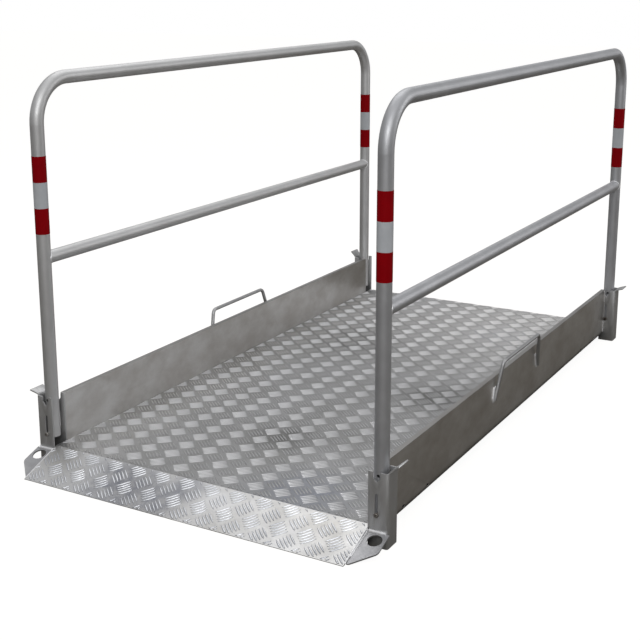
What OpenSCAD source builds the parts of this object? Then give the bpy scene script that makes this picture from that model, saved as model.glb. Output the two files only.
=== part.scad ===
// Aluminium ditch bridge: a walkway with two side panels, a short ramp at each end and two
// folding railings. Millimetres, +Z up, +Y along the bridge, origin on the ground at its centre.

/* [Deck] */
// Clear width between the two side panels
inside_w = 1046; // [1046:2:1300]
// Length of the flat deck between its two fold lines
deck_l = 2044; // [1700:4:2600]
// Height of the walking surface above the ground
deck_h = 55; // [52:1:62]
// Thickness of the tread plate
plate_t = 4; // [3:0.5:5]
// Length of a ramp, measured along the ground
ramp_l = 140; // [120:5:200]
// Thickness of a ramp's tip
ramp_nose = 2; // [1:0.5:3]

/* [Floor beams] */
// Width of the flat tube under the deck
beam_w = 60; // [40:5:80]
// Wall of that tube
beam_wall = 3; // [2:0.5:4]
// Distance of the outermost beams' centre lines from the ends of the side panels
beam_from_end = 34; // [31:1:60]

/* [Side panels] */
// Height of a side panel
panel_h = 176; // [160:2:200]
// Thickness of a side panel
panel_t = 15; // [12:1:15]
// Wall of the hollow panel
panel_wall = 2.5; // [2:0.5:3]
// Height of the panel's lower edge above the ground
panel_low = 29; // [26:1:32]
// Length of a drain slot in the panel's outer wall
drain_l = 15; // [10:1:20]
// Height of a drain slot
drain_h = 7; // [5:1:8]
// Distance from the panel's end to its first drain slot
drain_from_end = 122; // [100:2:140]
// Distance from the first drain slot to the second
drain_pitch = 156; // [120:2:180]

/* [Railings] */
// Outer diameter of the bent railing tube
rail_d = 40; // [38:1:42]
// Wall of the railing tube
rail_wall = 3; // [2:0.5:4]
// Height of the top rail's centre line above the ground
rail_h = 1131; // [1000:1:1131]
// Radius of the railing's bends, to the centre line
rail_bend_r = 125; // [100:5:160]
// Distance of a post's centre line inside the deck's fold line
post_from_fold = 19; // [15:1:24]
// Distance of the post's centre line outside the panel's inner face
post_out = 24; // [24:1:28]
// Length of post below its pivot
post_heel = 12; // [11:1:14]
// Outer diameter of the middle rail
mid_d = 38; // [32:1:39]
// Wall of the middle rail
mid_wall = 2.5; // [2:0.5:4]
// Height of the middle rail's centre line above the ground
mid_h = 620; // [540:5:660]
// Diameter of the hole across each post for a locking pin
lock_d = 9; // [8:0.5:10]

/* [Warning bands] */
// Height of one band
band_h = 75; // [60:5:90]
// Top of the uppermost band above the ground
band_top = 918; // [880:2:940]
// Thickness of the band's foil
band_t = 0.5; // [0.4:0.1:1]

/* [Corner brackets] */
// Thickness of the bracket's plate
bracket_t = 4; // [3:0.5:5]
// Clearance on each side between a post and the bracket's webs
post_side_gap = 5; // [5:0.5:6]
// Clearance between the turning heel of a post and the bracket's outer wall
heel_gap = 5.5; // [5:0.5:8]
// Width of the notch for the locking pin at its mouth
notch_w = 22; // [18:1:24]
// Depth of that notch
notch_depth = 26; // [20:1:28]
// Height of the pivot bolts above the ground
pivot_h = 89; // [89:1:92]
// Width of the slot for the pivot bolt
slot_w = 9; // [8.6:0.1:9.4]
// Height that a pivot bolt can be raised in its slot
lift_room = 53; // [51:1:56]
// How far the flat lips reach beyond the bracket's outer wall
lip_flat_out = 32; // [24:1:36]
// How far the flat lips rise
lip_flat_up = 13; // [8:1:20]
// How far the sloping lip reaches beyond the outer wall
lip_slope_out = 32; // [24:1:36]
// How far the sloping lip rises
lip_slope_up = 27; // [20:1:30]
// How far the steep lip reaches beyond the outer wall
lip_steep_out = 22; // [14:1:24]
// How far the steep lip rises
lip_steep_up = 25; // [20:1:30]

/* [Pivot bolts] */
// Diameter of a pivot bolt
bolt_d = 8; // [7:0.5:8]
// Diameter of the bolt's round head
bolt_head_d = 13; // [11:1:14]
// Thickness of the bolt's head
bolt_head_h = 5; // [4:0.5:6]
// Width of the nut across its flats
nut_w = 13; // [12:1:14]
// Thickness of the nut
nut_h = 6.5; // [5:0.5:8]
// Radial clearance of a bolt in its post
bolt_fit = 0.05; // [0.03:0.01:0.1]
// Gap between a bracket and the bolt's head or nut
bolt_play = 0.3; // [0.2:0.1:0.5]
// Gap between a bolt and the lower end of its slot
bolt_seat = 0.1; // [0.1:0.1:0.4]

/* [Anchor ears] */
// Thickness of an ear
ear_t = 5; // [4:0.5:6]
// Width of an ear across the bridge
ear_w = 62; // [58:1:66]
// Length of an ear along its slope
ear_l = 124; // [110:2:128]
// Width of an ear's tip
ear_tip_w = 6; // [4:1:10]
// Radius of an ear's outer corner
ear_corner_r = 20; // [12:1:26]
// Slope of an ear in degrees
ear_slope = 18.5; // [17:0.5:20]
// How far the ear's back edge lies below the walking surface
ear_drop = 12; // [10:1:14]
// Diameter of the anchor hole
ear_hole_d = 40; // [30:1:42]
// Place of the anchor hole across the ear, from its inner edge
ear_hole_x = 34; // [30:1:38]
// Place of the anchor hole along the ear, from the bracket
ear_hole_y = 29; // [26:1:34]

/* [Carrying handles] */
// Diameter of the handle's rod
handle_d = 12; // [10:1:14]
// Distance between a handle's feet
handle_feet = 394; // [340:2:440]
// Distance of a handle's middle from the bridge's middle, to the left as seen from outside
handle_shift = 16; // [0:2:40]
// Outward lean of a handle in degrees
handle_lean = 6; // [4:1:8]
// Length of a handle from foot to top bar along its lean
handle_l = 120; // [96:24:144]
// Height of a handle's feet above the ground
handle_foot_h = 130; // [110:2:140]
// Radius of a handle's bends, to the centre line
handle_bend_r = 20; // [16:4:28]
// Depth of the flat filed on a handle's foot
handle_flat = 0.8; // [0.5:0.1:1.2]

/* [Hidden] */
$fn = 64;
// Half of the clear width, which is also the edge of the deck and the face of a panel
edge_x = inside_w / 2;
// Fold line at each end of the deck
fold_y = deck_l / 2;
// Drop of the ramp's surface for each millimetre of its length
ramp_fall = (deck_h - ramp_nose) / ramp_l;
// Height of the ramp's plate measured straight down
ramp_plate_h = plate_t * sqrt(1 + ramp_fall * ramp_fall);
// Face of a panel on the outside
panel_x = edge_x + panel_t;
// Centre line of the posts
post_x = edge_x + post_out;
post_y = fold_y - post_from_fold;
post_r = rail_d / 2;
// Inner faces of the bracket's two webs, from the post's centre line
web_in = post_r + post_side_gap;
web_out = web_in + bracket_t;
// Reach of a post's heel round its pivot, and the bracket's outer wall beyond it
heel_reach = sqrt(post_heel * post_heel + post_r * post_r);
wall_x = post_x + heel_reach + heel_gap;
// Ends of the side panels, which butt against the inner webs
panel_end = post_y - web_out;
// Distance from one floor beam to the next
beam_pitch = (panel_end - beam_from_end) / 2;
// Top of the side panels and of the bracket's webs
side_top = panel_low + panel_h;
// Height of the locking pin above the notch's point
lock_h = side_top - notch_depth + notch_w / 2 + 1;
// The bolt stands just above the lower end of its slot
slot_low = pivot_h + (slot_w - bolt_d) / 2 - bolt_seat;
// Height of the posts' straight part
bend_h = rail_h - rail_bend_r;
// A handle's legs splay by 7 in 24, a slope whose sine and cosine are round numbers
handle_splay = atan2(7, 24);
// Height of the flat tube under the deck
beam_h = deck_h - plate_t - panel_low;
// Length that a cutting solid runs past the piece that it cuts
past = 1;

// Pieces are drawn at the right rear corner and mirrored to the other corners.
module corner(left = false, front = false) {
    mirror([left ? 1 : 0, 0, 0])
        mirror([0, front ? 1 : 0, 0])
            children();
}

// An outline in X and Z, carried along Y from one place to another.
module along_y(from, to) {
    translate([0, to, 0])
        rotate([90, 0, 0])
            linear_extrude(to - from)
                children();
}

// A round bar along Y, centred on a place in X and Z.
module bar_y(x, z, d, from, to) {
    translate([x, to, z])
        rotate([90, 0, 0])
            cylinder(d = d, h = to - from);
}

// The flat tread plate of the walkway.
module deck_plate() {
    color("silver")
        translate([-edge_x, -fold_y, deck_h - plate_t])
            cube([inside_w, deck_l, plate_t]);
}

// A ramp plate that falls from the fold line to a thin tip on the ground.
module ramp() {
    low_l = (deck_h - ramp_plate_h) / ramp_fall;
    color("gainsboro")
        translate([-edge_x, 0, 0])
            rotate([90, 0, 90])
                linear_extrude(inside_w)
                    polygon([
                        [fold_y, deck_h],
                        [fold_y, deck_h - ramp_plate_h],
                        [fold_y + low_l, 0],
                        [fold_y + ramp_l, 0],
                        [fold_y + ramp_l, ramp_nose]
                    ]);
}

// A flat tube across the bridge, between the side panels and under the deck.
module floor_beam(index) {
    color("darkgray")
        translate([-edge_x, (index - 3) * beam_pitch - beam_w / 2, panel_low])
            difference() {
                cube([inside_w, beam_w, beam_h]);
                translate([-past, beam_wall, beam_wall])
                    cube([inside_w + 2 * past, beam_w - 2 * beam_wall, beam_h - 2 * beam_wall]);
            }
}

// A drain slot with round ends, through the panel's outer wall.
module drain(y) {
    reach = (drain_l - drain_h) / 2;
    z = panel_low + 9;
    translate([panel_x - panel_wall - past, y, z])
        rotate([0, 90, 0])
            union() {
                translate([0, -reach, 0])
                    cylinder(d = drain_h, h = panel_wall + 2 * past);
                translate([0, reach, 0])
                    cylinder(d = drain_h, h = panel_wall + 2 * past);
                translate([-drain_h / 2, -reach, 0])
                    cube([drain_h, 2 * reach, panel_wall + 2 * past]);
            }
}

// A hollow side panel, open at both ends where it meets the brackets.
module side_panel() {
    color("gray")
        difference() {
            translate([edge_x, -panel_end, panel_low])
                cube([panel_t, 2 * panel_end, panel_h]);
            translate([edge_x + panel_wall, -panel_end - past, panel_low + panel_wall])
                cube([panel_t - 2 * panel_wall, 2 * (panel_end + past), panel_h - 2 * panel_wall]);
            for (side = [-1, 1], step = [0, 1])
                drain(side * (panel_end - drain_from_end - step * drain_pitch));
        }
}

// The long slot in which a pivot bolt can be raised, through both webs.
module bolt_slot() {
    from = post_y - web_out - past;
    to = post_y + web_out + past;
    bar_y(post_x, slot_low, slot_w, from, to);
    bar_y(post_x, slot_low + lift_room, slot_w, from, to);
    translate([post_x - slot_w / 2, from, slot_low])
        cube([slot_w, to - from, lift_room]);
}

// The notch across the tops of both webs, which takes a locking pin.
module pin_notch() {
    along_y(post_y - web_out - past, post_y + web_out + past)
        polygon([
            [post_x, side_top - notch_depth],
            [post_x + notch_w / 2, side_top],
            [post_x + notch_w / 2, side_top + past],
            [post_x - notch_w / 2, side_top + past],
            [post_x - notch_w / 2, side_top]
        ]);
}

// A folded corner bracket: two webs, an outer wall and a lip bent outward at its top.
module bracket(lip_out, lip_up) {
    lip_len = sqrt(lip_out * lip_out + lip_up * lip_up);
    // Step from the lip's upper face to its lower face
    down_x = bracket_t * lip_up / lip_len;
    down_z = bracket_t * lip_out / lip_len;
    color("dimgray")
        difference() {
            union() {
                for (from = [post_y - web_out, post_y + web_in])
                    translate([edge_x, from, 0])
                        cube([wall_x + bracket_t - edge_x, bracket_t, side_top]);
                translate([wall_x, post_y - web_out, 0])
                    cube([bracket_t, 2 * web_out, side_top]);
                along_y(post_y - web_out, post_y + web_out)
                    polygon([
                        [wall_x, side_top - bracket_t],
                        [wall_x, side_top],
                        [wall_x + lip_out - down_x, side_top + lip_up],
                        [wall_x + lip_out, side_top + lip_up - down_z],
                        [wall_x + bracket_t, side_top - bracket_t]
                    ]);
            }
            bolt_slot();
            pin_notch();
        }
}

// The outline of an ear: straight back edge, rounded outer corner, slanting front edge.
module ear_outline() {
    slant = ear_tip_w + ear_l;
    corner_y = slant - ear_w + ear_corner_r - ear_corner_r * sqrt(2);
    polygon(concat(
        [[0, -ear_t], [0, ear_l], [ear_tip_w, ear_l]],
        [for (a = [45:-9:0])
            [ear_w - ear_corner_r + ear_corner_r * cos(a), corner_y + ear_corner_r * sin(a)]],
        [[ear_w, -ear_t]]
    ));
}

// A sloping ear in front of a bracket, with a hole for a ground anchor.
module ear() {
    color("silver")
        difference() {
            translate([edge_x, post_y + web_out, deck_h - ear_drop])
                rotate([-ear_slope, 0, 0])
                    translate([0, 0, -ear_t])
                        difference() {
                            linear_extrude(ear_t)
                                ear_outline();
                            translate([ear_hole_x, ear_hole_y, -past])
                                cylinder(d = ear_hole_d, h = ear_t + 2 * past);
                        }
            translate([edge_x - past, post_y, 0])
                cube([ear_w + 2 * past, web_out, deck_h]);
            translate([edge_x - past, post_y, -deck_h])
                cube([ear_w + 2 * past, 2 * ear_l, deck_h]);
        }
}

// Half of a handle in its own plane: a splayed leg, a bend and half of the top bar.
module handle_half() {
    turn = 90 - handle_splay;
    // Distance from the corner point to where a bend starts
    setback = handle_bend_r * tan(turn / 2);
    corner_y = handle_feet / 2 - handle_l * tan(handle_splay);
    leg = handle_l / cos(handle_splay) - setback;
    translate([0, handle_feet / 2, 0])
        rotate([handle_splay, 0, 0])
            cylinder(d = handle_d, h = leg);
    translate([0, corner_y - setback, handle_l - handle_bend_r])
        rotate([0, -90, 0])
            rotate_extrude(angle = turn)
                translate([handle_bend_r, 0])
                    circle(d = handle_d);
    bar_y(0, handle_l, handle_d, 0, corner_y - setback);
}

// A bent rod handle, welded by its two feet to the outer face of a side panel.
module handle() {
    color("darkgray")
        difference() {
            translate([panel_x + handle_d / 2 - handle_flat, -handle_shift, handle_foot_h])
                rotate([0, handle_lean, 0])
                    union() {
                        handle_half();
                        mirror([0, 1, 0])
                            handle_half();
                    }
            translate([panel_x - handle_d, -handle_feet, 0])
                cube([handle_d, 2 * handle_feet, side_top]);
        }
}

// A pivot bolt along Y through both webs and the post, head outside and nut inside.
module pivot_bolt() {
    head_y = post_y + web_out + bolt_play;
    nut_y = post_y - web_out - bolt_play - nut_h;
    color("lightslategray")
        union() {
            bar_y(post_x, pivot_h, bolt_d, nut_y, head_y + past);
            bar_y(post_x, pivot_h, bolt_head_d, head_y, head_y + bolt_head_h);
            translate([post_x, nut_y + nut_h, pivot_h])
                rotate([90, 30, 0])
                    cylinder(d = nut_w / cos(30), h = nut_h, $fn = 6);
        }
}

// One half of the railing tube: a post, a bend and half of the top rail.
module rail_half(d, low) {
    translate([post_x, post_y, low])
        cylinder(d = d, h = bend_h - low);
    translate([post_x, post_y - rail_bend_r, bend_h])
        rotate([0, -90, 0])
            rotate_extrude(angle = 90)
                translate([rail_bend_r, 0])
                    circle(d = d);
    bar_y(post_x, rail_h, d, 0, post_y - rail_bend_r);
}

// A railing bent from one tube, with bores for its pivot bolts and its locking pins.
module railing() {
    low = pivot_h - post_heel;
    color("gray")
        difference() {
            union() {
                rail_half(rail_d, low);
                mirror([0, 1, 0])
                    rail_half(rail_d, low);
            }
            rail_half(rail_d - 2 * rail_wall, low - past);
            mirror([0, 1, 0])
                rail_half(rail_d - 2 * rail_wall, low - past);
            for (side = [-1, 1]) {
                from = side * post_y - rail_d;
                to = side * post_y + rail_d;
                bar_y(post_x, pivot_h, bolt_d + 2 * bolt_fit, from, to);
                bar_y(post_x, lock_h, lock_d, from, to);
            }
        }
}

// The middle rail, with its ends cut to fit round the posts.
module mid_rail() {
    color("gray")
        difference() {
            bar_y(post_x, mid_h, mid_d, -post_y, post_y);
            bar_y(post_x, mid_h, mid_d - 2 * mid_wall, -post_y - past, post_y + past);
            for (side = [-1, 1])
                translate([post_x, side * post_y, mid_h - mid_d])
                    cylinder(d = rail_d, h = 2 * mid_d);
        }
}

// One warning band round a post, counted downward from the uppermost.
module band(index, tint) {
    color(tint)
        translate([post_x, post_y, band_top - (index + 1) * band_h])
            difference() {
                cylinder(d = rail_d + 2 * band_t, h = band_h);
                translate([0, 0, -past])
                    cylinder(d = rail_d, h = band_h + 2 * past);
            }
}

deck_plate();
corner(front = true) ramp();  // front_ramp
ramp();  // rear_ramp
floor_beam(1);  // floor_beam_1
floor_beam(2);  // floor_beam_2
floor_beam(3);  // floor_beam_3
floor_beam(4);  // floor_beam_4
floor_beam(5);  // floor_beam_5
corner(left = true) side_panel();  // left_side_panel
side_panel();  // right_side_panel
corner(left = true, front = true) bracket(lip_flat_out, lip_flat_up);  // left_front_bracket
corner(left = true) bracket(lip_steep_out, lip_steep_up);  // left_rear_bracket
corner(front = true) bracket(lip_slope_out, lip_slope_up);  // right_front_bracket
bracket(lip_flat_out, lip_flat_up);  // right_rear_bracket
corner(left = true, front = true) ear();  // left_front_ear
corner(front = true) ear();  // right_front_ear
rotate([0, 0, 180]) handle();  // left_handle
handle();  // right_handle
corner(left = true, front = true) pivot_bolt();  // left_front_bolt
corner(left = true) pivot_bolt();  // left_rear_bolt
corner(front = true) pivot_bolt();  // right_front_bolt
pivot_bolt();  // right_rear_bolt
corner(left = true) railing();  // left_railing
railing();  // right_railing
corner(left = true) mid_rail();  // left_mid_rail
mid_rail();  // right_mid_rail
corner(left = true, front = true) band(0, "darkred");  // left_front_band_top
corner(left = true, front = true) band(1, "lightgray");  // left_front_band_middle
corner(left = true, front = true) band(2, "darkred");  // left_front_band_bottom
corner(left = true) band(0, "darkred");  // left_rear_band_top
corner(left = true) band(1, "lightgray");  // left_rear_band_middle
corner(left = true) band(2, "darkred");  // left_rear_band_bottom
corner(front = true) band(0, "darkred");  // right_front_band_top
corner(front = true) band(1, "lightgray");  // right_front_band_middle
corner(front = true) band(2, "darkred");  // right_front_band_bottom
band(0, "darkred");  // right_rear_band_top
band(1, "lightgray");  // right_rear_band_middle
band(2, "darkred");  // right_rear_band_bottom
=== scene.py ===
import math
import random

import bpy
from mathutils import Matrix, Vector


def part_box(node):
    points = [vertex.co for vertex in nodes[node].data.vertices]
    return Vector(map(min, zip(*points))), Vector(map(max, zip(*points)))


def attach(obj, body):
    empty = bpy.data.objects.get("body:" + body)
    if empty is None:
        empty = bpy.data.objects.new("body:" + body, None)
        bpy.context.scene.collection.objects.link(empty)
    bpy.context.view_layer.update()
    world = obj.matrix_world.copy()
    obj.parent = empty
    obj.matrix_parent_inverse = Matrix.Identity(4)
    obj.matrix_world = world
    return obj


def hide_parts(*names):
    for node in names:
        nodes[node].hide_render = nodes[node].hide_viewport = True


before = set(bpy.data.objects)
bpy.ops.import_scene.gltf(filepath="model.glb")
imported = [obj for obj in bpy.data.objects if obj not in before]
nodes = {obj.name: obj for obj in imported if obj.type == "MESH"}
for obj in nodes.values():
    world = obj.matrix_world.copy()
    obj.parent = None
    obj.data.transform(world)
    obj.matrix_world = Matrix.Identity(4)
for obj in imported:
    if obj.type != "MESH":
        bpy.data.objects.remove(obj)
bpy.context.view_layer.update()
bpy.ops.object.select_all(action="DESELECT")

# ---------------------------------------------------------------- camera
# A standing person's view down onto the bridge from its front right corner. A small downward
# shift lets the camera tilt less, so the posts lean less.
camera_data = bpy.data.cameras.new("camera")
camera_data.lens = 66.31
camera_data.sensor_width = 36.0
camera_data.shift_y = -0.1
camera_data.clip_end = 60.0
camera_data.dof.use_dof = False
camera = bpy.data.objects.new("camera", camera_data)
bpy.context.scene.collection.objects.link(camera)
camera.location = (1.7754, -3.4870, 1.4191)
camera.rotation_euler = (math.radians(76.521), 0.0, math.radians(29.543))
bpy.context.scene.camera = camera

# ---------------------------------------------------------------- floor and light
# A plain studio floor that runs out of sight: dull grey to the metal, which mirrors it, and
# white to the camera. The surround is white too, with three big soft lamps in it.
bpy.context.scene.view_settings.view_transform = "Standard"

bpy.ops.mesh.primitive_plane_add(size=40.0, location=(0, 0, 0))
floor = bpy.context.object
floor.name = "studio_floor"
floor_finish = bpy.data.materials.new("studio_floor")
floor_finish.use_nodes = True
floor_nodes = floor_finish.node_tree.nodes
floor_links = floor_finish.node_tree.links
floor_nodes.clear()
floor_out = floor_nodes.new("ShaderNodeOutputMaterial")
floor_matte = floor_nodes.new("ShaderNodeBsdfDiffuse")
floor_matte.inputs["Color"].default_value = (0.13, 0.12, 0.105, 1)
floor_glow = floor_nodes.new("ShaderNodeEmission")
floor_glow.inputs["Color"].default_value = (1, 1, 1, 1)
floor_glow.inputs["Strength"].default_value = 0.93
floor_path = floor_nodes.new("ShaderNodeLightPath")
floor_add = floor_nodes.new("ShaderNodeAddShader")
floor_seen = floor_nodes.new("ShaderNodeMixShader")
floor_links.new(floor_matte.outputs[0], floor_add.inputs[0])
floor_links.new(floor_glow.outputs[0], floor_add.inputs[1])
floor_links.new(floor_path.outputs["Is Camera Ray"], floor_seen.inputs[0])
floor_links.new(floor_matte.outputs[0], floor_seen.inputs[1])
floor_links.new(floor_add.outputs[0], floor_seen.inputs[2])
floor_links.new(floor_seen.outputs[0], floor_out.inputs["Surface"])
floor.data.materials.append(floor_finish)

world = bpy.data.worlds.new("studio")
bpy.context.scene.world = world
world.use_nodes = True
world_nodes = world.node_tree.nodes
world_links = world.node_tree.links
world_nodes.clear()
world_out = world_nodes.new("ShaderNodeOutputWorld")
surround = world_nodes.new("ShaderNodeBackground")
surround.inputs["Strength"].default_value = 1.0
white = world_nodes.new("ShaderNodeBackground")
white.inputs["Color"].default_value = (1, 1, 1, 1)
white.inputs["Strength"].default_value = 1.0
# The studio is dim near the horizon and bright overhead, which the metal reflects. Each pair
# is a height, from 0 straight down to 1 straight up, and how bright the studio is there.
studio_tones = ((0.0, 0.42), (0.22, 0.45), (0.30, 0.44), (0.38, 0.31), (0.46, 0.28), (0.8, 0.74))
world_place = world_nodes.new("ShaderNodeTexCoord")
world_axes = world_nodes.new("ShaderNodeSeparateXYZ")
world_height = world_nodes.new("ShaderNodeValToRGB")
for stop, tone in studio_tones:
    if stop == 0.0:
        element = world_height.color_ramp.elements[0]
    else:
        element = world_height.color_ramp.elements.new(stop)
    element.color = (tone, tone * 1.005, tone * 1.02, 1)
world_height.color_ramp.elements[-1].color = (0.76, 0.765, 0.78, 1)
world_path = world_nodes.new("ShaderNodeLightPath")
camera_or_through = world_nodes.new("ShaderNodeMath")
camera_or_through.operation = "MAXIMUM"
world_mix = world_nodes.new("ShaderNodeMixShader")
world_links.new(world_place.outputs["Generated"], world_axes.inputs["Vector"])
world_links.new(world_axes.outputs["Z"], world_height.inputs["Fac"])
world_links.new(world_height.outputs["Color"], surround.inputs["Color"])
world_links.new(world_path.outputs["Is Camera Ray"], camera_or_through.inputs[0])
world_links.new(world_path.outputs["Is Transmission Ray"], camera_or_through.inputs[1])
world_links.new(camera_or_through.outputs[0], world_mix.inputs[0])
world_links.new(surround.outputs[0], world_mix.inputs[1])
world_links.new(white.outputs[0], world_mix.inputs[2])
world_links.new(world_mix.outputs[0], world_out.inputs["Surface"])


def soft_lamp(name, place, aim, size, power):
    """A square soft lamp at a place, turned towards a point."""
    lamp_data = bpy.data.lights.new(name, "AREA")
    lamp_data.shape = "SQUARE"
    lamp_data.size = size
    lamp_data.energy = power
    lamp = bpy.data.objects.new(name, lamp_data)
    bpy.context.scene.collection.objects.link(lamp)
    lamp.location = place
    lamp.rotation_euler = (Vector(aim) - Vector(place)).to_track_quat("-Z", "Y").to_euler()


soft_lamp("key", place=(2.4, -4.6, 3.4), aim=(0, 0, 0.3), size=3.0, power=105.0)
soft_lamp("sky", place=(-1.3, 1.7, 4.4), aim=(0, -0.4, 0), size=3.6, power=50.0)
soft_lamp("side", place=(4.0, 2.8, 2.2), aim=(0, 0.6, 0.5), size=2.4, power=42.0)

# ---------------------------------------------------------------- deck
# The deck is one sheet of rolled aluminium tread plate, welded in between the side panels. Its
# raised bars stand in groups of five, turned two ways. Shoes have rubbed the bars and dirt lies
# between them; the darkening at the bars' feet is painted shade.


def finish(name, colour, roughness, metallic):
    """A new material with its shader, ready for more nodes."""
    material = bpy.data.materials.new(name)
    material.use_nodes = True
    tree = material.node_tree
    shader = tree.nodes["Principled BSDF"]
    shader.inputs["Base Color"].default_value = (*colour, 1)
    shader.inputs["Roughness"].default_value = roughness
    shader.inputs["Metallic"].default_value = metallic
    return material, tree, shader


def cloudy(tree, scale, detail, low, high, stretch=(1, 1, 1)):
    """Soft clouds on the object's own coordinates, as a value from low to high."""
    place = tree.nodes.new("ShaderNodeTexCoord")
    mapping = tree.nodes.new("ShaderNodeMapping")
    mapping.inputs["Scale"].default_value = stretch
    noise = tree.nodes.new("ShaderNodeTexNoise")
    noise.inputs["Scale"].default_value = scale
    noise.inputs["Detail"].default_value = detail
    noise.inputs["Roughness"].default_value = 0.6
    ramp = tree.nodes.new("ShaderNodeMapRange")
    ramp.inputs["From Min"].default_value = 0.33
    ramp.inputs["From Max"].default_value = 0.67
    ramp.inputs["To Min"].default_value = low
    ramp.inputs["To Max"].default_value = high
    tree.links.new(place.outputs["Object"], mapping.inputs["Vector"])
    tree.links.new(mapping.outputs["Vector"], noise.inputs["Vector"])
    tree.links.new(noise.outputs["Fac"], ramp.inputs["Value"])
    return ramp.outputs["Result"]


def blend_colours(tree, factor, first, second):
    """One colour turning into another by a factor. Either may be a socket or a plain colour."""
    mix = tree.nodes.new("ShaderNodeMix")
    mix.data_type = "RGBA"
    for index, colour in ((6, first), (7, second)):
        if isinstance(colour, tuple):
            mix.inputs[index].default_value = (*colour, 1)
        else:
            tree.links.new(colour, mix.inputs[index])
    tree.links.new(factor, mix.inputs[0])
    return mix.outputs[2]


def relief(tree, shader, height, depth):
    """Fine relief on a shader from a height, as deep as given in metres."""
    bump = tree.nodes.new("ShaderNodeBump")
    bump.inputs["Strength"].default_value = 1.0
    bump.inputs["Distance"].default_value = depth
    tree.links.new(height, bump.inputs["Height"])
    tree.links.new(bump.outputs["Normal"], shader.inputs["Normal"])


def spot(tree, centre, reach, strength):
    """A value that is strong at a place on the object and falls to nothing at its reach."""
    place = tree.nodes.new("ShaderNodeTexCoord")
    away = tree.nodes.new("ShaderNodeVectorMath")
    away.operation = "DISTANCE"
    away.inputs[1].default_value = centre
    fade = tree.nodes.new("ShaderNodeMapRange")
    fade.interpolation_type = "SMOOTHSTEP"
    fade.inputs["From Min"].default_value = 0.0
    fade.inputs["From Max"].default_value = reach
    fade.inputs["To Min"].default_value = strength
    fade.inputs["To Max"].default_value = 0.0
    tree.links.new(place.outputs["Object"], away.inputs[0])
    tree.links.new(away.outputs["Value"], fade.inputs["Value"])
    return fade.outputs["Result"]


def cloudy_spot(tree, centre, reach):
    """A stain's outline: strong at its centre, with a ragged edge."""
    product = tree.nodes.new("ShaderNodeMath")
    product.operation = "MULTIPLY"
    tree.links.new(spot(tree, centre, reach, strength=1.0), product.inputs[0])
    tree.links.new(cloudy(tree, scale=30.0, detail=6.0, low=0.35, high=1.0), product.inputs[1])
    return product.outputs[0]


def tread_finish(name, clean, dirty, stains, shine_low, shine_high):
    """Aluminium tread plate: clouds of dirt, a few stains and fine scratches."""
    material, tree, shader = finish(name, clean, roughness=0.4, metallic=0.9)
    clouds = cloudy(tree, scale=5.0, detail=6.0, low=0.0, high=1.0)
    colour = blend_colours(tree, clouds, clean, dirty)
    for centre, reach, stain in stains:
        colour = blend_colours(tree, cloudy_spot(tree, centre, reach), colour, stain)
    tree.links.new(colour, shader.inputs["Base Color"])
    shine = cloudy(tree, scale=18.0, detail=5.0, low=shine_low, high=shine_high)
    tree.links.new(shine, shader.inputs["Roughness"])
    scratches = cloudy(tree, scale=300.0, detail=5.0, low=0.0, high=1.0)
    relief(tree, shader, scratches, depth=0.00005)
    return material


def bar_finish(name, worn, dirt_and_foot_shade):
    """The tops of the raised bars are rubbed bright, with clouds of dirt. Their feet are darkened
    with painted shade.
    """
    material, tree, shader = finish(name, worn, roughness=0.3, metallic=0.95)
    height = tree.nodes.new("ShaderNodeAttribute")
    height.attribute_name = "rub"
    clouds = cloudy(tree, scale=9.0, detail=5.0, low=0.0, high=0.5)
    rubbed = blend_colours(tree, clouds, worn, dirt_and_foot_shade)
    # Painted shade: below about half a bar's height its colour darkens towards the foot.
    foot = tree.nodes.new("ShaderNodeMapRange")
    foot.inputs["From Min"].default_value = 0.0
    foot.inputs["From Max"].default_value = 0.55
    tree.links.new(height.outputs["Fac"], foot.inputs["Value"])
    colour = blend_colours(tree, foot.outputs["Result"], dirt_and_foot_shade, rubbed)
    tree.links.new(colour, shader.inputs["Base Color"])
    shine = cloudy(tree, scale=40.0, detail=4.0, low=0.34, high=0.46)
    tree.links.new(shine, shader.inputs["Roughness"])
    scratches = cloudy(tree, scale=300.0, detail=5.0, low=0.0, high=1.0)
    relief(tree, shader, scratches, depth=0.00002)
    return material


def lighten_around(material, centre, reach, strength, tone):
    """Lighten a material round a place."""
    tree = material.node_tree
    base = tree.nodes["Principled BSDF"].inputs["Base Color"]
    mask = spot(tree, centre, reach, strength)
    tree.links.new(blend_colours(tree, mask, base.links[0].from_socket, tone), base)


def dress(piece, material):
    """Give a piece its one material."""
    piece.data.materials.clear()
    piece.data.materials.append(material)


def round_edges(node):
    """Sawn and folded edges are a little rounded and rubbed."""
    merge = node.modifiers.new("weld", "WELD")
    merge.merge_threshold = 0.00001
    edge = node.modifiers.new("edges", "BEVEL")
    edge.width = 0.0006
    edge.segments = 2
    edge.limit_method = "ANGLE"
    edge.angle_limit = math.radians(40)


def copy_of(piece, name):
    """A copy of a piece, with its own mesh."""
    other = piece.copy()
    other.data = piece.data.copy()
    other.name = name
    bpy.context.collection.objects.link(other)
    return other


# A raised bar and its group. A bar's foot is sunk a hair into the plate. Its flank leans in to
# a narrow top, given here as shares of the bar's length and width.
bar_length = 0.045
bar_width = 0.0062
bar_height = 0.0018
bar_sink = 0.0002
bar_flank = 0.4
shoulder = (0.95, 0.74, 1)
crest = (0.86, 0.38, 1)
bar_gap = 0.0095
bar_turn = math.radians(42.0)
bars_in_group = 5
# Distance from one group to the next that is turned the same way.
group_step_x = 0.084
group_step_y = 0.0715
# Width of the bare strip along a plate's edges.
edge_margin = 0.004


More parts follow.
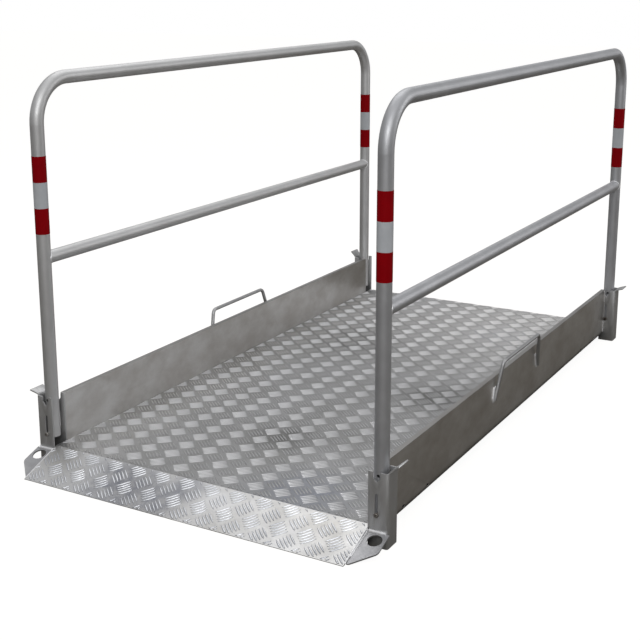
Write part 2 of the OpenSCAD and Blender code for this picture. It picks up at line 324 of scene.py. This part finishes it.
def five_bars():
    """Five raised bars side by side, lying along x on the plane z = 0."""
    bpy.ops.mesh.primitive_cylinder_add(vertices=8, radius=0.5, depth=1.0, location=(0, 0, 0))
    bar = bpy.context.object
    bpy.ops.object.mode_set(mode="EDIT")
    bpy.ops.mesh.select_all(action="SELECT")
    bpy.ops.transform.resize(value=(bar_length, bar_width, bar_height))
    bpy.ops.mesh.select_all(action="DESELECT")
    bpy.ops.object.mode_set(mode="OBJECT")
    bpy.context.tool_settings.mesh_select_mode = (False, False, True)
    for face in bar.data.polygons:
        face.select = face.normal.z > 0.9
    bpy.ops.object.mode_set(mode="EDIT")
    bpy.ops.transform.translate(value=(0, 0, -bar_flank * bar_height))
    bpy.ops.transform.resize(value=shoulder)
    rise = (0, 0, bar_flank * bar_height)
    bpy.ops.mesh.extrude_region_move(TRANSFORM_OT_translate={"value": rise})
    bpy.ops.transform.resize(value=crest)
    bpy.ops.object.mode_set(mode="OBJECT")
    made = [bar]
    for index in range(1, bars_in_group):
        made.append(copy_of(bar, "bar"))
    for index, bar in enumerate(made):
        across = (index - (bars_in_group - 1) / 2) * bar_gap
        bar.location = (0, across, bar_height / 2 - bar_sink)
        bar.select_set(True)
    bpy.context.view_layer.objects.active = made[0]
    bpy.ops.object.join()
    group = bpy.context.object
    bpy.ops.object.transform_apply(location=True, rotation=True, scale=True)
    rub = group.data.attributes.new("rub", "FLOAT", "POINT")
    for vertex in group.data.vertices:
        rub.data[vertex.index].value = max(vertex.co.z, 0) / (bar_height - bar_sink)
    return group


def tread_bars(name, width, length, one_centre, material):
    """Bars in both directions over a plate that lies on z = 0 from y = 0 to y = length.
    The rolled pattern runs on past the plate's cut edges, so one group's centre sets it."""
    columns = math.ceil(width / group_step_x) + 2
    rows = math.ceil(length / group_step_y) + 2
    before_x = (-width / 2 - one_centre[0]) % group_step_x
    before_y = -one_centre[1] % group_step_y
    start = Vector((-width / 2 - before_x, -before_y, 0))
    half_step = Vector((group_step_x / 2, group_step_y / 2, 0))
    bars = copy_of(group_of_five, name)
    falling = copy_of(group_of_five, "falling_bars")
    bars.data.transform(Matrix.Translation(start) @ Matrix.Rotation(bar_turn, 4, "Z"))
    falling.data.transform(
        Matrix.Translation(start - half_step) @ Matrix.Rotation(-bar_turn, 4, "Z")
    )
    bpy.ops.object.select_all(action="DESELECT")
    bars.select_set(True)
    falling.select_set(True)
    bpy.context.view_layer.objects.active = bars
    bpy.ops.object.join()
    for count, offset in ((columns, (group_step_x, 0, 0)), (rows, (0, group_step_y, 0))):
        array = bars.modifiers.new("repeat", "ARRAY")
        array.count = count
        array.use_relative_offset = False
        array.use_constant_offset = True
        array.constant_offset_displace = offset
        bpy.ops.object.modifier_apply(modifier=array.name)
    bpy.ops.object.mode_set(mode="EDIT")
    for place, outward in (
        ((width / 2, 0, 0), (1, 0, 0)),
        ((-width / 2, 0, 0), (-1, 0, 0)),
        ((0, length, 0), (0, 1, 0)),
        ((0, 0, 0), (0, -1, 0)),
    ):
        bpy.ops.mesh.select_all(action="SELECT")
        bpy.ops.mesh.bisect(plane_co=place, plane_no=outward, use_fill=True, clear_outer=True)
    bpy.ops.object.mode_set(mode="OBJECT")
    bpy.ops.object.shade_smooth_by_angle(angle=math.radians(50))
    dress(bars, material)
    bpy.ops.object.select_all(action="DESELECT")
    return bars


# Each stain is a place on the deck, how far it reaches, and its colour.
oily = (0.15, 0.15, 0.145)
deck_stains = (
    ((0.03, -0.64, 0.055), 0.16, oily),
    ((-0.2, 0.35, 0.055), 0.3, oily),
    ((0.3, -0.1, 0.055), 0.2, oily),
    ((0.28, -0.95, 0.055), 0.24, (0.27, 0.285, 0.33)),
    ((0.24, 0.68, 0.055), 0.24, (0.52, 0.54, 0.60)),
)
deck_finish = tread_finish(
    "worn_deck_plate",
    clean=(0.395, 0.395, 0.40),
    dirty=(0.31, 0.31, 0.305),
    stains=deck_stains,
    shine_low=0.38,
    shine_high=0.52,
)
# The second colour is dirt on the bars and painted shade at their feet.
deck_bar_finish = bar_finish("rubbed_deck_bars", (0.55, 0.55, 0.555), (0.36, 0.36, 0.365))
# The deck is coloured lighter towards its far end.
lighter_end = (0.35, 0.95, 0.055)
lighten_around(deck_finish, lighter_end, reach=1.1, strength=0.85, tone=(0.56, 0.55, 0.54))
lighten_around(deck_bar_finish, lighter_end, reach=1.1, strength=0.85, tone=(0.82, 0.81, 0.80))

deck_low, deck_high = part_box("deck_plate")
dress(nodes["deck_plate"], deck_finish)
round_edges(nodes["deck_plate"])
group_of_five = five_bars()
# Centre of one group of bars on the deck, which places all the others.
deck_group_x = -0.018
deck_group_y = -0.043
deck_bars = tread_bars(
    "deck_tread_bars",
    deck_high.x - deck_low.x - 2 * edge_margin,
    deck_high.y - deck_low.y - 2 * edge_margin,
    (deck_group_x, deck_group_y - deck_low.y - edge_margin),
    deck_bar_finish,
)
deck_bars.data.transform(Matrix.Translation((0, deck_low.y + edge_margin, deck_high.z)))
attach(deck_bars, "bridge")

# ---------------------------------------------------------------- ramps
# A short ramp of the same tread plate slopes from each end of the deck down to the ground. It
# is welded along the deck's edge. Its plate and bars are coloured lighter than the deck's as
# painted light, and it has a few darker bluish patches.
# Darker bluish patches on the ramps, each a place, how far it reaches, and its colour.
dark_bluish = (0.21, 0.22, 0.26)
ramp_patches = (
    ((-0.21, -1.09, 0.03), 0.21, dark_bluish),
    ((-0.02, -1.05, 0.04), 0.08, dark_bluish),
    ((-0.07, -1.12, 0.02), 0.10, dark_bluish),
    ((0.1, 1.1, 0.03), 0.12, dark_bluish),
)
# Painted light: the same plate as the deck, given a lighter colour.
ramp_finish = tread_finish(
    "ramp_plate_painted_lighter",
    clean=(0.66, 0.66, 0.665),
    dirty=(0.50, 0.49, 0.47),
    stains=ramp_patches,
    shine_low=0.3,
    shine_high=0.45,
)
# Painted light: the rubbed bar tops are lighter than the deck's bars. Painted shade, dark and
# bluish, lies at their feet.
ramp_bar_finish = bar_finish("rubbed_ramp_bars_painted_lighter", (0.86, 0.87, 0.89), (0.10, 0.11, 0.14))
# Thickness of a ramp's tip, and the centre of one group of bars from the ramp's fold.
ramp_nose = 0.002
ramp_group_at = (0.034, 0.014)

rear_low, rear_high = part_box("rear_ramp")
ramp_run = rear_high.y - rear_low.y
ramp_drop = rear_high.z - ramp_nose
ramp_slope = math.atan2(ramp_drop, ramp_run)
ramp_face = math.hypot(ramp_run, ramp_drop)
for half_turn, name in ((0, "rear_ramp"), (math.pi, "front_ramp")):
    dress(nodes[name], ramp_finish)
    round_edges(nodes[name])
    bars = tread_bars(
        name + "_tread_bars",
        rear_high.x - rear_low.x - 2 * edge_margin,
        ramp_face - 2 * edge_margin,
        ramp_group_at,
        ramp_bar_finish,
    )
    bars.data.transform(
        Matrix.Rotation(half_turn, 4, "Z")
        @ Matrix.Translation((0, rear_low.y, rear_high.z))
        @ Matrix.Rotation(-ramp_slope, 4, "X")
        @ Matrix.Translation((0, edge_margin, 0))
    )
    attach(bars, "bridge")
bpy.data.objects.remove(group_of_five)

# ---------------------------------------------------------------- side panels and floor beams
# A side panel is a hollow extruded aluminium profile on edge, both side beam and toe board. It
# is dull brownish grey, darker along its top edge, with painted shade along its bottom edge. Flat
# tubes of the same metal cross under the deck from panel to panel.


def metal(name, colour, second, rough, stretch=(1, 1, 1), metallic=0.8, depth=0.00003):
    """Bare metal in two tones, with a range of roughness and a fine relief."""
    material, tree, shader = finish(name, colour, roughness=0.4, metallic=metallic)
    clouds = cloudy(tree, scale=7.0, detail=5.0, low=0.0, high=1.0, stretch=stretch)
    tree.links.new(blend_colours(tree, clouds, colour, second), shader.inputs["Base Color"])
    shine = cloudy(tree, scale=60.0, detail=4.0, low=rough[0], high=rough[1], stretch=stretch)
    tree.links.new(shine, shader.inputs["Roughness"])
    grain = cloudy(tree, scale=420.0, detail=3.0, low=0.0, high=1.0, stretch=stretch)
    relief(tree, shader, grain, depth)
    return material


def by_height(tree, bottom, top, at_bottom, at_top):
    """A value that changes between two heights on the object."""
    place = tree.nodes.new("ShaderNodeTexCoord")
    axes = tree.nodes.new("ShaderNodeSeparateXYZ")
    fade = tree.nodes.new("ShaderNodeMapRange")
    fade.inputs["From Min"].default_value = bottom
    fade.inputs["From Max"].default_value = top
    fade.inputs["To Min"].default_value = at_bottom
    fade.inputs["To Max"].default_value = at_top
    tree.links.new(place.outputs["Object"], axes.inputs["Vector"])
    tree.links.new(axes.outputs["Z"], fade.inputs["Value"])
    return fade.outputs["Result"]


panel_finish = metal(
    "dull_panel",
    (0.78, 0.775, 0.765),
    (0.65, 0.635, 0.61),
    rough=(0.33, 0.37),
    stretch=(0.6, 0.35, 0.6),
    metallic=0.95,
    depth=0.000002,
)
panel_tree = panel_finish.node_tree
panel_base = panel_tree.nodes["Principled BSDF"].inputs["Base Color"]
panel_colour = panel_base.links[0].from_socket
brown_clouds = cloudy(panel_tree, scale=14.0, detail=5.0, low=0.0, high=0.7, stretch=(1, 0.6, 1))
top_edge = by_height(panel_tree, bottom=0.2030, top=0.2046, at_bottom=0.0, at_top=0.6)
# Painted shade: the panel darkens towards its bottom edge.
painted_bottom_shade = by_height(panel_tree, bottom=0.031, top=0.042, at_bottom=0.75, at_top=0.0)
for mask, tone in (
    (brown_clouds, (0.47, 0.44, 0.41)),
    (top_edge, (0.17, 0.165, 0.16)),
    (painted_bottom_shade, (0.10, 0.095, 0.085)),
):
    panel_colour = blend_colours(panel_tree, mask, panel_colour, tone)
panel_tree.links.new(panel_colour, panel_base)

panel_low, panel_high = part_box("right_side_panel")
for name, node in nodes.items():
    if name.endswith("side_panel") or name.startswith("floor_beam"):
        dress(node, panel_finish)
        round_edges(node)

# ---------------------------------------------------------------- corner brackets
# Folded from 4 mm plate: two webs and an outer wall with rounded bends, a lip bent outward at
# the top, and in both webs a long slot for the pivot bolt and a notch for the locking pin.
# The bridge repeats by half a turn, so its flat lips are at opposite corners.
bracket_finish = metal(
    "folded_plate", (0.52, 0.52, 0.52), (0.43, 0.43, 0.43), rough=(0.38, 0.5), stretch=(1, 1, 0.4)
)
web_low, web_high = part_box("right_rear_bracket")
bolt_low, bolt_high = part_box("right_rear_bolt")
post_x = (bolt_low.x + bolt_high.x) / 2
plate = 0.004
wall_outside = 0.57982
bend_radius = 0.0065
lip_bend = 0.004
slot_low = 0.0894
slot_high = 0.1424
slot_width = 0.009
notch_mouth = 0.022
notch_depth = 0.026
# A cutter this long passes right through both webs.
through_webs = 0.08
# A lip is a little wider at its tip than at its bend.
lip_flare = 1.2
# Two places closer than this are the same place.
near = 0.0001
# How far a lip reaches out beyond the wall, and how far it rises.
flat_lip = (0.032, 0.013)
steep_lip = (0.022, 0.025)
sloping_lip = (0.032, 0.027)
# Each corner: its side of the bridge, its end of the bridge, and its lip.
corners = {
    "left_front": (-1, -1, flat_lip),
    "left_rear": (-1, 1, steep_lip),
    "right_front": (1, -1, sloping_lip),
    "right_rear": (1, 1, flat_lip),
}


def pick(mesh, kind, test):
    """Select the faces or edges of a mesh that pass a test on their place."""
    for group in (mesh.vertices, mesh.edges, mesh.polygons):
        for item in group:
            item.select = False
    for item in mesh.polygons if kind == "face" else mesh.edges:
        if kind == "face":
            item.select = test(item.center, item.normal)
        else:
            ends = [mesh.vertices[index].co for index in item.vertices]
            item.select = test((ends[0] + ends[1]) / 2, ends[1] - ends[0])


def select_mode(vertex, edge, face):
    """Work on vertices, edges or faces in edit mode."""
    bpy.context.tool_settings.mesh_select_mode = (vertex, edge, face)


def alone(piece):
    """Make a piece the only one that is selected, and the active one."""
    bpy.ops.object.select_all(action="DESELECT")
    piece.select_set(True)
    bpy.context.view_layer.objects.active = piece


def cut_away(piece, tool):
    """Take one solid out of another."""
    cut = piece.modifiers.new("cut", "BOOLEAN")
    cut.operation = "DIFFERENCE"
    cut.solver = "EXACT"
    cut.object = tool
    bpy.ops.object.select_all(action="DESELECT")
    bpy.context.view_layer.objects.active = piece
    bpy.ops.object.modifier_apply(modifier=cut.name)
    bpy.data.objects.remove(tool)


def soften(piece, width, angle):
    """Round the edges of a piece that are sharper than an angle in degrees."""
    edge = piece.modifiers.new("edges", "BEVEL")
    edge.width = width
    edge.segments = 2
    edge.limit_method = "ANGLE"
    edge.angle_limit = math.radians(angle)
    alone(piece)
    bpy.ops.object.modifier_apply(modifier=edge.name)
    bpy.ops.object.shade_smooth_by_angle(angle=math.radians(32))


def settle(piece, side, end):
    """Bring a piece modelled at the right rear corner to any corner."""
    alone(piece)
    bpy.ops.object.transform_apply(location=True, rotation=True, scale=True)
    piece.data.transform(Matrix.Diagonal((side, end, 1, 1)))
    if side * end < 0:
        piece.data.flip_normals()


def web_cutter(height, width, tall, test, offset, segments):
    """A block through both webs at the post, with some of its edges cut off or rounded."""
    bpy.ops.mesh.primitive_cube_add(
        size=1,
        location=(post_x, (web_low.y + web_high.y) / 2, height),
        scale=(width, through_webs, tall),
    )
    cutter = bpy.context.object
    bpy.ops.object.transform_apply(location=True, rotation=True, scale=True)
    pick(cutter.data, "edge", test)
    bpy.ops.object.mode_set(mode="EDIT")
    bpy.ops.mesh.bevel(offset=offset, segments=segments, affect="EDGES")
    bpy.ops.object.mode_set(mode="OBJECT")
    return cutter


def folded_bracket(lip_out, lip_up):
    """A bracket for the right rear corner. Its outside is folded up first, then gets its
    thickness, and the slot and the notch are cut last."""
    depth = wall_outside - web_low.x
    bpy.ops.mesh.primitive_cube_add(
        size=1,
        location=(web_low.x + depth / 2, (web_low.y + web_high.y) / 2, panel_high.z / 2),
        scale=(depth, web_high.y - web_low.y, panel_high.z),
    )
    piece = bpy.context.object
    bpy.ops.object.transform_apply(location=True, rotation=True, scale=True)
    mesh = piece.data
    select_mode(False, False, True)
    pick(mesh, "face", lambda at, out: abs(out.z) > 0.9 or out.x < -0.9)
    bpy.ops.object.mode_set(mode="EDIT")
    bpy.ops.mesh.delete(type="FACE")
    bpy.ops.object.mode_set(mode="OBJECT")
    select_mode(False, True, False)
    pick(mesh, "edge", lambda at, along: abs(along.z) > 0.1 and at.x > wall_outside - 0.001)
    bpy.ops.object.mode_set(mode="EDIT")
    bpy.ops.mesh.bevel(offset=bend_radius, segments=5, affect="EDGES")
    bpy.ops.object.mode_set(mode="OBJECT")
    top = panel_high.z
    wall = wall_outside - near
    pick(mesh, "edge", lambda at, along: at.z > top - near and at.x > wall)
    bpy.ops.object.mode_set(mode="EDIT")
    lip_length = math.hypot(lip_out, lip_up)
    reach = wall_outside - plate + lip_out
    rise = lip_up - plate * lip_out / lip_length
    lip_move = (reach - wall_outside, 0, rise)
    bpy.ops.mesh.extrude_region_move(TRANSFORM_OT_translate={"value": lip_move})
    bpy.ops.transform.resize(value=(1, lip_flare, 1))
    bpy.ops.object.mode_set(mode="OBJECT")
    pick(mesh, "edge", lambda at, along: abs(at.z - top) < near and at.x > wall)
    bpy.ops.object.mode_set(mode="EDIT")
    bpy.ops.mesh.bevel(offset=lip_bend, segments=3, affect="EDGES")
    bpy.ops.mesh.select_all(action="SELECT")
    bpy.ops.mesh.normals_make_consistent(inside=False)
    bpy.ops.object.mode_set(mode="OBJECT")
    wall_faces = [
        face for face in mesh.polygons
        if face.center.x > wall_outside - 0.001 and face.center.z < 0.15
    ]
    if wall_faces[0].normal.x < 0:
        mesh.flip_normals()
    thick = piece.modifiers.new("plate", "SOLIDIFY")
    thick.thickness = plate
    thick.offset = -1
    thick.use_even_offset = True
    bpy.ops.object.modifier_apply(modifier=thick.name)
    slot = web_cutter(
        height=(slot_low + slot_high) / 2,
        width=slot_width,
        tall=slot_high - slot_low + slot_width,
        test=lambda at, along: abs(along.y) > 0.01,
        offset=0.49 * slot_width,
        segments=8,
    )
    cut_away(piece, slot)
    notch = web_cutter(
        height=top - notch_depth / 2 + 0.001,
        width=notch_mouth,
        tall=notch_depth + 0.002,
        test=lambda at, along: abs(along.y) > 0.01 and at.z < top,
        offset=0.45 * notch_mouth,
        segments=1,
    )
    cut_away(piece, notch)
    soften(piece, width=0.0005, angle=35)
    return piece


patterns = {}
for corner, (side, end, lip) in corners.items():
    if lip not in patterns:
        patterns[lip] = folded_bracket(*lip)
    bracket = copy_of(patterns[lip], corner + "_folded_bracket")
    settle(bracket, side, end)
    dress(bracket, bracket_finish)
    dress(nodes[corner + "_bracket"], bracket_finish)
    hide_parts(corner + "_bracket")
    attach(bracket, "bridge")
for pattern in patterns.values():
    bpy.data.objects.remove(pattern)

# ---------------------------------------------------------------- anchor ears
# A sloping ear of 5 mm plate stands beside each side of the front ramp, with a hole for a
# stake. It is cut out, then welded to the corner bracket and to the ramp's edge.
ear_finish = metal(
    "cut_ear", (0.47, 0.47, 0.48), (0.36, 0.36, 0.37), rough=(0.42, 0.55), stretch=(3, 3, 3)
)
ear_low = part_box("right_front_ear")[0]
for name in ("left_front_ear", "right_front_ear"):
    dress(nodes[name], ear_finish)
    round_edges(nodes[name])

# ---------------------------------------------------------------- carrying handles
# A handle is one 12 mm aluminium rod, bent twice and leaning outward. Its two feet are welded
# to the outer face of the side panel.
rod_finish = metal(
    "bent_rod",
    (0.45, 0.45, 0.455),
    (0.36, 0.36, 0.365),
    rough=(0.36, 0.46),
    metallic=0.9,
    depth=0.00001,
)
handle_low, handle_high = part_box("right_handle")
for name in ("left_handle", "right_handle"):
    dress(nodes[name], rod_finish)

# ---------------------------------------------------------------- railings and middle rails
# A railing is one drawn aluminium tube with two bends, and its ends are the posts. The middle
# rail is a thinner tube, coped to the posts and welded all round. The right railing and its
# middle rail get a darker copy of the same tube's colour: painted shade.
tube_finish = metal(
    "satin_tube",
    (0.62, 0.62, 0.62),
    (0.55, 0.55, 0.55),
    rough=(0.48, 0.54),
    metallic=0.85,
    depth=0.000004,
)
# Painted shade: a darker copy of the satin tube for the right railing.
darker_tube_finish = metal(
    "tube_painted_darker",
    (0.50, 0.505, 0.52),
    (0.43, 0.435, 0.45),
    rough=(0.46, 0.54),
    metallic=0.85,
    depth=0.000004,
)
for name, tube in (
    ("left_railing", tube_finish),
    ("left_mid_rail", tube_finish),
    ("right_railing", darker_tube_finish),
    ("right_mid_rail", darker_tube_finish),
):
    dress(nodes[name], tube)
mid_low, mid_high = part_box("right_mid_rail")
# A post's radius, and its distance along the bridge from the bridge's middle.
post_radius = 0.020
post_y = 1.003

# ---------------------------------------------------------------- warning bands
# Three bands of smooth plastic foil are stuck round each post: red, white and red. They show
# no bright reflection and are a little darker where they are dirty.


def foil(name, colour, second):
    """Smooth foil stuck round a post, in a clean and a dirty tone."""
    material, tree, shader = finish(name, colour, roughness=0.5, metallic=0.0)
    shader.inputs["Specular IOR Level"].default_value = 0.05
    clouds = cloudy(tree, scale=25.0, detail=4.0, low=0.0, high=1.0)
    tree.links.new(blend_colours(tree, clouds, colour, second), shader.inputs["Base Color"])
    shine = cloudy(tree, scale=60.0, detail=4.0, low=0.4, high=0.6)
    tree.links.new(shine, shader.inputs["Roughness"])
    grain = cloudy(tree, scale=700.0, detail=2.0, low=0.0, high=1.0)
    relief(tree, shader, grain, depth=0.00002)
    return material


red_foil = foil("red_foil", (0.25, 0.0004, 0.003), (0.22, 0.0004, 0.003))
white_foil = foil("white_foil", (0.47, 0.485, 0.505), (0.42, 0.435, 0.455))
for corner in corners:
    dress(nodes[corner + "_band_top"], red_foil)
    dress(nodes[corner + "_band_middle"], white_foil)
    dress(nodes[corner + "_band_bottom"], red_foil)

# ---------------------------------------------------------------- pivot bolts
# A zinc-plated M8 screw goes through both webs and the post, with a domed socket head outside
# and a hexagon nut inside. The left screws stay down in their slots. The right ones rise with
# their railing.
bolt_finish = metal(
    "zinc_bolt", (0.34, 0.33, 0.31), (0.14, 0.12, 0.10), rough=(0.35, 0.5), stretch=(4, 4, 4)
)
bolt_z = (bolt_low.z + bolt_high.z) / 2
head_radius = 0.0065
head_thick = 0.005
head_dome = 0.0018
socket_radius = 0.0029
socket_tall = 0.005
shank_radius = 0.00395
shank_length = bolt_high.y - bolt_low.y - head_thick
nut_across = 0.013
nut_thick = 0.0065

bpy.ops.mesh.primitive_cylinder_add(
    vertices=32, radius=head_radius, depth=head_thick, location=(0, 0, 0)
)
head = bpy.context.object
select_mode(False, True, False)
pick(head.data, "edge", lambda at, along: at.z > head_thick * 0.4 and abs(along.z) < 0.001)
bpy.ops.object.mode_set(mode="EDIT")
bpy.ops.mesh.bevel(offset=head_dome, segments=4, affect="EDGES")
bpy.ops.object.mode_set(mode="OBJECT")
bpy.ops.mesh.primitive_cylinder_add(
    vertices=6, radius=socket_radius, depth=socket_tall, location=(0, 0, head_thick / 2)
)
cut_away(head, bpy.context.object)
head.data.transform(Matrix.Translation((0, 0, bolt_high.y - head_thick / 2)))
bpy.ops.mesh.primitive_cylinder_add(
    vertices=24,
    radius=shank_radius,
    depth=shank_length,
    location=(0, 0, bolt_low.y + shank_length / 2),
)
shank = bpy.context.object
bpy.ops.mesh.primitive_cylinder_add(
    vertices=6,
    radius=nut_across / math.sqrt(3),
    depth=nut_thick,
    location=(0, 0, bolt_low.y + nut_thick / 2),
)
nut = bpy.context.object
bpy.ops.object.select_all(action="DESELECT")
for part in (head, shank, nut):
    part.select_set(True)
bpy.context.view_layer.objects.active = head
bpy.ops.object.transform_apply(location=True, rotation=True, scale=True)
bpy.ops.object.join()
pattern = bpy.context.object
along_bridge = Matrix.Rotation(-math.pi / 2, 4, "X")
pattern.data.transform(Matrix.Translation((post_x, 0, bolt_z)) @ along_bridge)
soften(pattern, width=0.0003, angle=45)
for corner, (side, end, lip) in corners.items():
    bolt = copy_of(pattern, corner + "_socket_screw")
    settle(bolt, side, end)
    dress(bolt, bolt_finish)
    dress(nodes[corner + "_bolt"], bolt_finish)
    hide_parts(corner + "_bolt")
    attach(bolt, "bridge" if side < 0 else "right_pivot_bolts")
bpy.data.objects.remove(pattern)

# ---------------------------------------------------------------- weld beads
# Beads of aluminium filler hold the side panels to the brackets, and the ears, handles and
# middle rails to their neighbours. Their near-white colour is partly painted highlight. Each is
# a run of small overlapping ripples, laid by hand.
# Painted highlight: the bead colour is set near white and stands in for its glints.
weld_finish = metal(
    "weld_painted_bright", (0.92, 0.92, 0.93), (0.74, 0.74, 0.75), rough=(0.3, 0.45), metallic=0.6
)
ripple = 0.0024
chance = random.Random(7)


def weld_bead(path, radius, closed=False):
    """A rippled bead along a list of points."""
    line = bpy.data.curves.new("seam", "CURVE")
    line.dimensions = "3D"
    line.bevel_depth = radius
    line.bevel_resolution = 1
    line.use_fill_caps = True
    stops = [Vector(point) for point in path]
    if closed:
        stops.append(stops[0])
    places = []
    for first, second in zip(stops, stops[1:]):
        count = max(1, round((second - first).length / ripple))
        places += [first.lerp(second, step / count) for step in range(count)]
    if not closed:
        places.append(stops[-1])
    spline = line.splines.new("POLY")
    spline.points.add(len(places) - 1)
    spline.use_cyclic_u = closed
    for index, place in enumerate(places):
        spline.points[index].co = (*place, 1)
        swell = 1.0 if index % 2 else 0.8
        spline.points[index].radius = swell * chance.uniform(0.88, 1.06)
    bead = bpy.data.objects.new("seam", line)
    bpy.context.scene.collection.objects.link(bead)
    alone(bead)
    bpy.ops.object.convert(target="MESH")
    bead = bpy.context.object
    bpy.ops.object.shade_smooth()
    return bead


def joined_beads(name, beads, body):
    """Join beads to one piece that rides on a body."""
    bpy.ops.object.select_all(action="DESELECT")
    for bead in beads:
        bead.select_set(True)
    bpy.context.view_layer.objects.active = beads[0]
    bpy.ops.object.join()
    whole = bpy.context.object
    whole.name = name
    dress(whole, weld_finish)
    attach(whole, body)


# A bead's middle stands this far off the face that it lies on.
proud = 0.0006
# The seam of panel and bracket is open between these heights, where the bolt's nut travels.
web_radius = 0.0022
nut_way_low = 0.076
nut_way_high = 0.156
web_stitches = (
    (panel_low.z + 0.004, nut_way_low),
    (nut_way_high, panel_high.z - 0.006),
)
# An ear's upper face falls away from the bracket.
ear_radius = 0.0034
ear_back_radius = 0.0056
ear_fall = math.tan(math.radians(18.5))
ear_back_z = 0.043
ear_start_y = web_high.y + 0.002
ear_tip_y = -ear_low.y - 0.022
ramp_radius = 0.002
ramp_fall = math.tan(ramp_slope)
ramp_tip_y = rear_high.y - 0.008
# A handle's feet, and how high a bead climbs on each side of a foot.
foot_radius = 0.0042
handle_middle = (handle_low.y + handle_high.y) / 2
foot_half = 0.197
foot_z = 0.130
leg_lean = 7 / 24
rod_radius = 0.006
climb = (0.040, 0.020, 0.003)
# A middle rail meets its post in a curved ring.
ring_radius = 0.0022
ring_points = 20
# The post's surface never comes nearer to its own middle than this, squared.
least_depth = 0.00003
mid_z = (mid_low.z + mid_high.z) / 2
mid_radius = (mid_high.z - mid_low.z) / 2


def ear_height(y):
    """Height of an ear's upper face at a distance from the bridge's middle."""
    return ear_back_z - (y - web_high.y) * ear_fall


def ramp_height(y):
    """Height of a bead on a ramp's edge at a distance from the bridge's middle."""
    return rear_high.z - (y - rear_low.y) * ramp_fall - proud


for side, side_name in ((1, "right"), (-1, "left")):
    seam_x = side * (panel_high.x + proud)
    corner_beads = []
    for end in (1, -1):
        seam_y = end * (web_low.y - proud)
        for low, high in web_stitches:
            corner_beads.append(
                weld_bead(((seam_x, seam_y, low), (seam_x, seam_y, high)), web_radius)
            )
        if end > 0:
            continue
        ear_x = side * (ear_low.x + proud)
        corner_beads.append(weld_bead((
            (ear_x, end * ear_start_y, ear_height(ear_start_y)),
            (ear_x, end * ear_tip_y, ear_height(ear_tip_y)),
        ), ear_radius))
        ramp_x = side * (ear_low.x - 0.0004)
        corner_beads.append(weld_bead((
            (ramp_x, end * ear_start_y, ramp_height(ear_start_y)),
            (ramp_x, end * ramp_tip_y, ramp_height(ramp_tip_y)),
        ), ramp_radius))
        back_y = end * (web_high.y + 0.001)
        back_z = ear_back_z + 0.0005
        corner_beads.append(weld_bead((
            (side * (ear_low.x + 0.004), back_y, back_z),
            (side * (wall_outside - 0.003), back_y, back_z),
        ), ear_back_radius))
    joined_beads(side_name + "_corner_welds", corner_beads, "bridge")
    foot_beads = []
    for end in (1, -1):
        foot_y = side * handle_middle + end * foot_half
        face = side * (panel_high.x + 0.0008)
        inner = []
        outer = []
        for height in climb:
            leg_y = foot_y - end * leg_lean * height
            inner.append((face, leg_y - rod_radius - proud, foot_z + height))
            outer.append((face, leg_y + rod_radius + proud, foot_z + height))
        under = [(face, foot_y + across, foot_z - 0.006) for across in (-0.003, 0.003)]
        foot_beads.append(weld_bead(inner + under + outer[::-1], foot_radius))
    joined_beads(side_name + "_handle_welds", foot_beads, "bridge")
    rail_beads = []
    for end in (1, -1):
        ring = []
        for step in range(ring_points):
            turn = step * math.tau / ring_points
            across = mid_radius * math.cos(turn)
            depth = math.sqrt(max(post_radius ** 2 - across ** 2, least_depth))
            ring.append((
                side * post_x + across,
                end * (post_y - depth - 0.0004),
                mid_z + mid_radius * math.sin(turn),
            ))
        rail_beads.append(weld_bead(ring, ring_radius, closed=True))
    body = "left_railing_frame" if side < 0 else "right_railing_frame"
    joined_beads(side_name + "_rail_welds", rail_beads, body)
